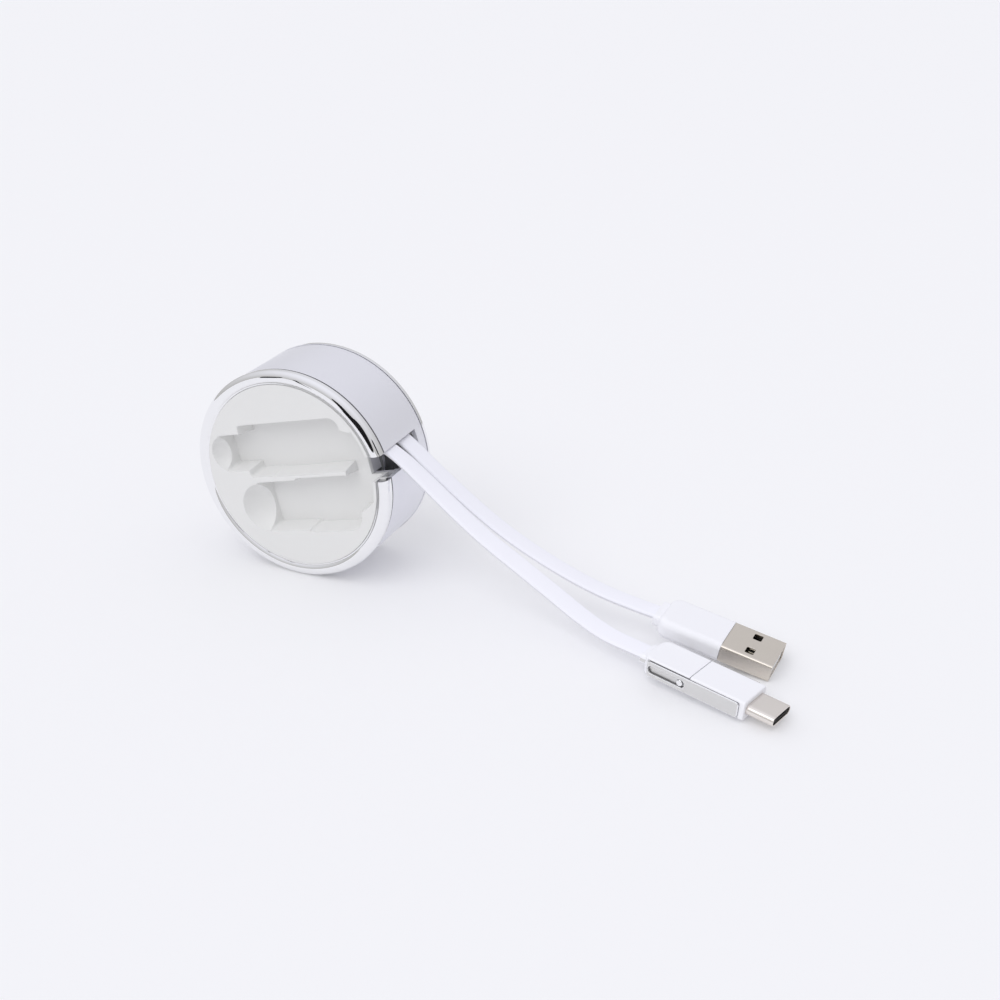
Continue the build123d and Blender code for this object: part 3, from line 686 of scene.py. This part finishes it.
class CABLE_OT_case(bpy.types.Operator):
    """Dress the reel case: rings, moulded face, satin sleeve and back"""

    bl_idname = "cable.case"
    bl_label = "Reel case"

    def execute(self, context):
        look = context.scene.cable_case
        chrome = chrome_finish(look)
        white = plastic(
            "White moulded face",
            look.panel,
            roughness=0.52,
            shade=0.965,
            relief=0.10,
            soft=look.panel_edge,
        )
        satin = metal(
            "Satin silver sleeve",
            look.sleeve,
            roughness=0.42,
            spread=0.10,
            size=5200.0,
            relief=0.10,
            shade=0.96,
            bare=0.5,
        )
        # Painted shadow: a dark finish on the sleeve's front strip, where the ring shades it
        rim_shadow_colour = plastic("Painted rim shadow", look.rim_shadow_colour, roughness=0.6)
        self.front_ring(look, chrome)
        self.back_ring(look, chrome)
        softened("nest_panel", "moulded_face", look.back_edge, white, clamp=True)
        sleeve = softened("drum_wall", "satin_sleeve", look.wall_edge, satin, rim_shadow_colour)
        self.dark_rim(sleeve, look.rim_shadow)
        softened("back_cover", "moulded_back", look.back_edge, white)
        dress("divider_plate", plastic("Pale divider", look.inside, roughness=0.5))
        return {"FINISHED"}

    def dark_rim(self, sleeve, width):
        """Paints the ring's shadow on the sleeve's front edge, as a dark strip of the given width."""
        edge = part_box("drum_wall")[0].y + width
        shape = bmesh.new()
        shape.from_mesh(sleeve.data)
        everything = shape.verts[:] + shape.edges[:] + shape.faces[:]
        bmesh.ops.bisect_plane(shape, geom=everything, plane_co=(0, edge, 0), plane_no=(0, 1, 0))
        for face in shape.faces:
            if face.calc_center_median().y < edge:
                face.material_index = 1
        shape.to_mesh(sleeve.data)
        shape.free()

    def front_ring(self, look, chrome):
        """Hollow bullnose sheet, its ends cut straight along the slot."""
        low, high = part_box("front_ring")
        outer = -low.x
        inner = outer - look.ring_width
        crest = low.y
        face = crest + look.ring_crest
        seat = high.y - look.seam
        shoulder = face + look.ring_shoulder
        lip = face + look.lip_depth
        sheet = look.ring_sheet
        halfway = (shoulder + seat) / 2
        outside = self.bullnose(inner, outer, crest, shoulder, (lip, lip), seat)
        inside = self.bullnose(
            inner + sheet, outer - sheet, crest + sheet, shoulder, (halfway, shoulder), seat
        )

        def ends(radius):
            start = look.nest_tilt + asin(look.slot_high / radius)
            return start, look.nest_tilt + 2 * pi + asin(look.slot_low / radius)

        shape, rows = swept_ring(outside + inside[::-1], look.steps, ends)
        for end in (0, -1):
            for index in range(len(outside) - 1):
                a, b = rows[index][end], rows[index + 1][end]
                c, d = rows[-index - 2][end], rows[-index - 1][end]
                shape.faces.new((a, b, c, d))
        mesh = smooth_mesh("chrome_front_ring", shape, crease=50.0)
        settle(add_object("chrome_front_ring", mesh, chrome), "front_ring")

    def bullnose(self, inner, outer, top, shoulder, begin, seat):
        """Profile of one side of the sheet, from its inner leg over the crest to its outer leg.

        The pair begin holds two depths: where the inner leg ends and where the crest's arc starts.
        """
        middle = (inner + outer) / 2
        half = (outer - inner) / 2
        rise = shoulder - top
        bend = (half * half + rise * rise) / (2 * rise)
        first, last = -acos(1 - (begin[1] - top) / bend), asin(half / bend)
        line = [(inner, seat), (inner, begin[0])]
        for step in range(CREST_STEPS + 1):
            turn = first + (last - first) * step / CREST_STEPS
            line.append((middle + bend * sin(turn), top + bend * (1 - cos(turn))))
        line.append((outer, seat))
        return line

    def back_ring(self, look, chrome):
        """Thin closed ring with a rounded outer rear edge."""
        low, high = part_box("back_ring")
        outer = (high.x - low.x) / 2
        inner = outer - look.ring_width
        by = look.back_round
        front = low.y + look.seam
        profile = [(inner, high.y), (inner, front), (outer, front)]
        for step in range(REAR_EDGE_STEPS + 1):
            turn = pi / 2 * step / REAR_EDGE_STEPS
            profile.append((outer - by + by * cos(turn), high.y - by + by * sin(turn)))
        shape, _ = swept_ring(profile, look.steps, lambda radius: (0.0, 2 * pi))
        mesh = smooth_mesh("chrome_back_ring", shape, crease=35.0)
        settle(add_object("chrome_back_ring", mesh, chrome), "back_ring")


class CABLE_OT_reel(bpy.types.Operator):
    """Finish the reel inside the case: spool, winding, spring, ball and screw"""

    bl_idname = "cable.reel"
    bl_label = "Reel"

    def execute(self, context):
        look = context.scene.cable_case
        grey = plastic("Grey spool", look.reel, roughness=0.45)
        steel = metal(
            "Spring steel", look.steel, roughness=0.28, spread=0.15, drawn=(1.0, 8.0, 1.0), size=1200.0
        )
        bright = metal(
            "Polished steel", look.chrome, roughness=0.06, spread=0.04, size=900.0, relief=0.01
        )
        for node in ("spool", "spring_cover"):
            dress(node, grey)
        for node in ("spiral_spring", "spindle_washer", "spindle_screw"):
            dress(node, steel)
        dress("stop_ball", bright)
        dress("ribbon_winding", ribbon_finish(context.scene.cable_plugs))
        return {"FINISHED"}


class CABLE_OT_ribbons(bpy.types.Operator):
    """Lay the flat ribbons along their routes, from the slot to the plugs"""

    bl_idname = "cable.ribbons"
    bl_label = "Ribbons"

    def execute(self, context):
        look = context.scene.cable_plugs
        self.lay(look, "ribbon_to_a", "ribbon_a", ROUTE_A, 0.0, PLUG_A_PIECES)
        self.lay(look, "ribbon_to_c", "ribbon_c", ROUTE_C, look.lean, TIP_PIECES + CAP_PIECES)
        return {"FINISHED"}

    def lay(self, look, name, node, route, lean, plug):
        """One ribbon: a rounded flat section carried along the route's smooth line, leaning most midway."""
        path = spline_points(name, route)
        section = flat_section(look.ribbon_width, look.ribbon_thick, look.ribbon_round)
        shape = bmesh.new()
        rows = []
        for index, point in enumerate(path):
            ahead = path[min(index + 1, len(path) - 1)]
            behind = path[max(index - 1, 0)]
            along = (ahead - behind).normalized()
            across = Vector((0, 0, 1)).cross(along).normalized()
            across.rotate(Matrix.Rotation(lean * sin(pi * index / (len(path) - 1)), 3, along))
            up = along.cross(across)
            rows.append([shape.verts.new(point + across * u + up * v) for u, v in section])
        for first, second in zip(rows, rows[1:]):
            for k in range(len(first)):
                nxt = (k + 1) % len(first)
                face = shape.faces.new((first[k], first[nxt], second[nxt], second[k]))
                # Side and lower-corner strips take the darker finish: painted shade along the ribbon's
                # edges
                face.material_index = int(k in RIBBON_SHADED_STRIPS)
        shape.faces.new(rows[0])
        shape.faces.new(rows[-1])
        mesh = smooth_mesh(name, shape, crease=60.0)
        piece = settle(add_object(name, mesh, ribbon_finish(look), ribbon_shade_finish(look)), node)


def spline_points(name, route):
    """Points along a smooth spline whose control points are the route."""
    curve = bpy.data.curves.new(name + "_line", "CURVE")
    curve.dimensions = "3D"
    spline = curve.splines.new("NURBS")
    spline.points.add(len(route) - 1)
    for point, place in zip(spline.points, route):
        point.co = (*place, 1.0)
    spline.order_u = 3
    spline.use_endpoint_u = True
    spline.resolution_u = SPLINE_STEPS
    line = bpy.data.objects.new(name + "_line", curve)
    bpy.context.scene.collection.objects.link(line)
    bpy.context.view_layer.update()
    mesh = bpy.data.meshes.new_from_object(line)
    points = [vertex.co.copy() for vertex in mesh.vertices]
    bpy.data.objects.remove(line)
    bpy.data.meshes.remove(mesh)
    return points


def flat_section(width, thick, rounding):
    """Corners of a rounded flat section, counter-clockwise."""
    section = []
    for quarter, (side, level) in enumerate(((1, 1), (-1, 1), (-1, -1), (1, -1))):
        centre = (side * (width / 2 - rounding), level * (thick / 2 - rounding))
        for step in range(RIBBON_CORNER_STEPS + 1):
            turn = pi / 2 * (quarter + step / RIBBON_CORNER_STEPS)
            section.append((centre[0] + rounding * cos(turn), centre[1] + rounding * sin(turn)))
    return section


class CABLE_OT_plug_a(bpy.types.Operator):
    """Dress the type A plug: grip, folded shell, tongue and contacts"""

    bl_idname = "cable.plug_a"
    bl_label = "Type A plug"

    def execute(self, context):
        look = context.scene.cable_plugs
        seated = sunk_collar(look, ROUTE_A)
        softened("plug_a_grip", "grip_a", look.grip_edge, grip_finish(look), change=seated)
        softened("plug_a_shell", "shell_a", look.shell_edge, nickel_finish(look))
        white = plastic("White insulator", look.white_core, roughness=0.5, shade=0.95)
        tongue = softened("plug_a_tongue", "tongue_a", look.shell_edge, insulator_and_shade_finish(look), white)
        # Only the nose keeps the white; the rest of the tongue is painted black as the cavity's shade
        # behind the holes
        for face in tongue.data.polygons:
            if face.normal.x > NOSE_SQUARE:
                face.material_index = 1
        plated = metal("Plated contact", look.contact, roughness=0.18, spread=0.06)
        softened("plug_a_contacts", "contacts_a", look.shell_edge, plated)
        return {"FINISHED"}


def link_axis():
    """Direction from one side plate to the other, the point midway and half the distance."""
    near, far = (sum(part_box(node), Vector()) / 2 for node in ("link_near", "link_far"))
    return (far - near).normalized(), (far + near) / 2, (far - near).length / 2


class CABLE_OT_two_in_one(bpy.types.Operator):
    """Dress the two-in-one plug: rear body, small tip, sliding cap and its side plates"""

    bl_idname = "cable.two_in_one"
    bl_label = "Two-in-one plug"

    def execute(self, context):
        look = context.scene.cable_plugs
        case = context.scene.cable_case
        white = grip_finish(look)
        nickel = pale_nickel_finish(look)
        black = insulator_and_shade_finish(look)
        bright = chrome_finish(case)
        # Painted shadow: a dark finish on the plates' inner flanks, standing for the gap beside the body
        dark = metal("Painted link gap shadow", case.steel, roughness=0.3, spread=0.1, shade=0.8)
        satin = metal(
            "Satin link face",
            look.link,
            roughness=0.34,
            spread=0.10,
            drawn=(0.2, 1.0, 1.0),
            size=3000.0,
            relief=0.06,
        )
        seated = sunk_collar(look, ROUTE_C)
        body = softened("tip_grip", "tip_body", look.grip_edge, white, satin, change=seated)
        self.metal_recess(body)
        softened("tip_shell", "flat_tip", look.shell_edge, nickel)
        softened("tip_tongue", "tip_insulator", look.shell_edge, black)
        softened("link_pins", "guide_pins", look.shell_edge, bright)
        softened("cap_body", "cap", look.grip_edge, white)
        softened("cap_shell", "oval_shell", look.shell_edge, nickel)
        softened("cap_core", "oval_core", look.shell_edge, black)
        for node, name in (("link_near", "side_plate_near"), ("link_far", "side_plate_far")):
            plate = softened(node, name, look.link_edge, bright, satin, dark)
            self.satin_faces(plate, look.link_gap_shadow)
        return {"FINISHED"}

    def satin_faces(self, plate, flank):
        """A side plate's broad faces are satin, its edges bright and its inner flanks a painted gap shadow.
        """
        across, middle, reach = link_axis()
        inside = reach - PLATE_HALF + flank
        shape = bmesh.new()
        shape.from_mesh(plate.data)
        for side in (-1, 1):
            everything = shape.verts[:] + shape.edges[:] + shape.faces[:]
            cut = middle + across * inside * side
            bmesh.ops.bisect_plane(shape, geom=everything, plane_co=cut, plane_no=across)
        for face in shape.faces:
            if abs(face.normal.dot(across)) > PLATE_SQUARE:
                face.material_index = 1
            # Inner flank strips: painted shadow of the gap between plate and body
            elif abs((face.calc_center_median() - middle).dot(across)) < inside:
                face.material_index = 2
        shape.to_mesh(plate.data)
        shape.free()

    def metal_recess(self, body):
        """The floor of each side recess, seen through a plate's slot, is bare metal."""
        across, middle, reach = link_axis()
        for face in body.data.polygons:
            off = abs((face.center - middle).dot(across))
            if abs(face.normal.dot(across)) > RECESS_SQUARE and off < reach - RECESS_BEHIND:
                face.material_index = 1


class CABLE_OT_stage(bpy.types.Operator):
    """Set the camera, the soft light and the pale floor"""

    bl_idname = "cable.stage"
    bl_label = "Stage"

    def execute(self, context):
        look = context.scene.cable_stage
        self.camera(look)
        self.surround(look)
        self.floor(look)
        self.key(look)
        self.glint(look)
        finish = plastic("Dark card", look.shade, roughness=0.9)
        self.dark_card("streak_shade", STREAK_SHADE, finish)
        self.dark_card("brow_shade", BROW_SHADE, finish)
        self.dark_card("crest_shade", CREST_SHADE, finish)
        self.dark_card("side_shade", SIDE_SHADE, finish)
        context.scene.view_settings.view_transform = "Standard"
        return {"FINISHED"}

    def camera(self, look):
        """Camera at the photograph's viewing angle."""
        data = bpy.data.cameras.new("view")
        data.lens = look.lens
        data.sensor_width = SENSOR_WIDTH
        data.clip_start = NEAREST_VIEW
        camera = bpy.data.objects.new("view", data)
        bpy.context.scene.collection.objects.link(camera)
        turn = Matrix.Rotation(look.azimuth, 4, "Z") @ Matrix.Rotation(pi / 2 - look.elevation, 4, "X")
        camera.matrix_world = Matrix.Translation(look.place) @ turn
        bpy.context.scene.camera = camera

    def surround(self, look):
        """Pale light from all round, brighter towards the top, in front of a plain backdrop."""
        world = bpy.data.worlds.new("surround")
        world.use_nodes = True
        tree = world.node_tree
        place = tree.nodes.new("ShaderNodeTexCoord")
        split = tree.nodes.new("ShaderNodeSeparateXYZ")
        mix = tree.nodes.new("ShaderNodeMix")
        mix.data_type = "RGBA"
        mix.inputs["A"].default_value = tone(look.low_sky)
        mix.inputs["B"].default_value = tone(look.high_sky, look.sky_strength)
        tree.links.new(place.outputs["Generated"], split.inputs["Vector"])
        tree.links.new(split.outputs["Z"], mix.inputs["Factor"])
        plain = tree.nodes.new("ShaderNodeMix")
        plain.data_type = "RGBA"
        plain.inputs["B"].default_value = tone(look.backdrop)
        ray = tree.nodes.new("ShaderNodeLightPath")
        tree.links.new(mix.outputs["Result"], plain.inputs["A"])
        tree.links.new(ray.outputs["Is Camera Ray"], plain.inputs["Factor"])
        tree.links.new(plain.outputs["Result"], tree.nodes["Background"].inputs["Color"])
        bpy.context.scene.world = world

    def floor(self, look):
        """Large pale table top."""
        shape = bmesh.new()
        bmesh.ops.create_grid(shape, x_segments=1, y_segments=1, size=TABLE_HALF)
        mesh = bpy.data.meshes.new("floor")
        shape.to_mesh(mesh)
        shape.free()
        finish = plastic("Pale table", look.floor, roughness=0.7, shade=0.995, relief=0.0, sheen=0.1)
        shader_of(finish).inputs["Emission Color"].default_value = tone(look.glow)
        shader_of(finish).inputs["Emission Strength"].default_value = look.glow_strength
        add_object("floor", mesh, finish)

    def key(self, look):
        """Very soft light from above and a little in front."""
        self.soft_sun("key", look.key_strength).visible_glossy = False

    def glint(self, look):
        """The same light's gleam on the plugs' metal; the case's chrome shows the room instead."""
        light = self.soft_sun("glint", look.glint_strength)
        light.visible_diffuse = False
        bright = bpy.data.collections.new("plug_metal")
        for name in GLEAMING_PIECES:
            bright.objects.link(bpy.data.objects[name])
        light.light_linking.receiver_collection = bright

    def soft_sun(self, name, energy):
        """A wide light from the front, above."""
        data = bpy.data.lights.new(name, "SUN")
        data.energy = energy
        data.angle = SUN_SPREAD
        light = bpy.data.objects.new(name, data)
        bpy.context.scene.collection.objects.link(light)
        light.rotation_euler = (SUN_TILT, 0, SUN_TURN)
        return light

    def dark_card(self, name, shade, finish):
        """A dark shape in front of the case, seen only in reflections."""
        ahead, outline = shade
        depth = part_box("front_ring")[0].y - ahead
        shape = bmesh.new()
        shape.faces.new([shape.verts.new((x, depth, z)) for x, z in outline])
        mesh = bpy.data.meshes.new(name)
        shape.to_mesh(mesh)
        shape.free()
        card = add_object(name, mesh, finish)
        card.visible_camera = False
        card.visible_diffuse = False
        card.visible_shadow = False


class CABLE_PT_panel(bpy.types.Panel):
    """Lists the steps that dress the cable"""

    bl_label = "Charging cable"
    bl_idname = "CABLE_PT_panel"
    bl_space_type = "VIEW_3D"
    bl_region_type = "UI"
    bl_category = "Cable"

    def draw(self, context):
        for step in STEPS:
            self.layout.operator(step.bl_idname)


STEPS = (
    CABLE_OT_case,
    CABLE_OT_plug_a,
    CABLE_OT_two_in_one,
    CABLE_OT_reel,
    CABLE_OT_ribbons,
    CABLE_OT_stage,
)
CLASSES = (CaseLook, PlugLook, StageLook, *STEPS, CABLE_PT_panel)


def register():
    for item in CLASSES:
        bpy.utils.register_class(item)
    bpy.types.Scene.cable_case = PointerProperty(type=CaseLook)
    bpy.types.Scene.cable_plugs = PointerProperty(type=PlugLook)
    bpy.types.Scene.cable_stage = PointerProperty(type=StageLook)


def unregister():
    del bpy.types.Scene.cable_stage
    del bpy.types.Scene.cable_plugs
    del bpy.types.Scene.cable_case
    for item in reversed(CLASSES):
        bpy.utils.unregister_class(item)


def main():
    register()
    bpy.ops.cable.case()
    bpy.ops.cable.plug_a()
    bpy.ops.cable.two_in_one()
    bpy.ops.cable.reel()
    bpy.ops.cable.ribbons()
    bpy.ops.cable.stage()


if __name__ == "__main__":
    main()
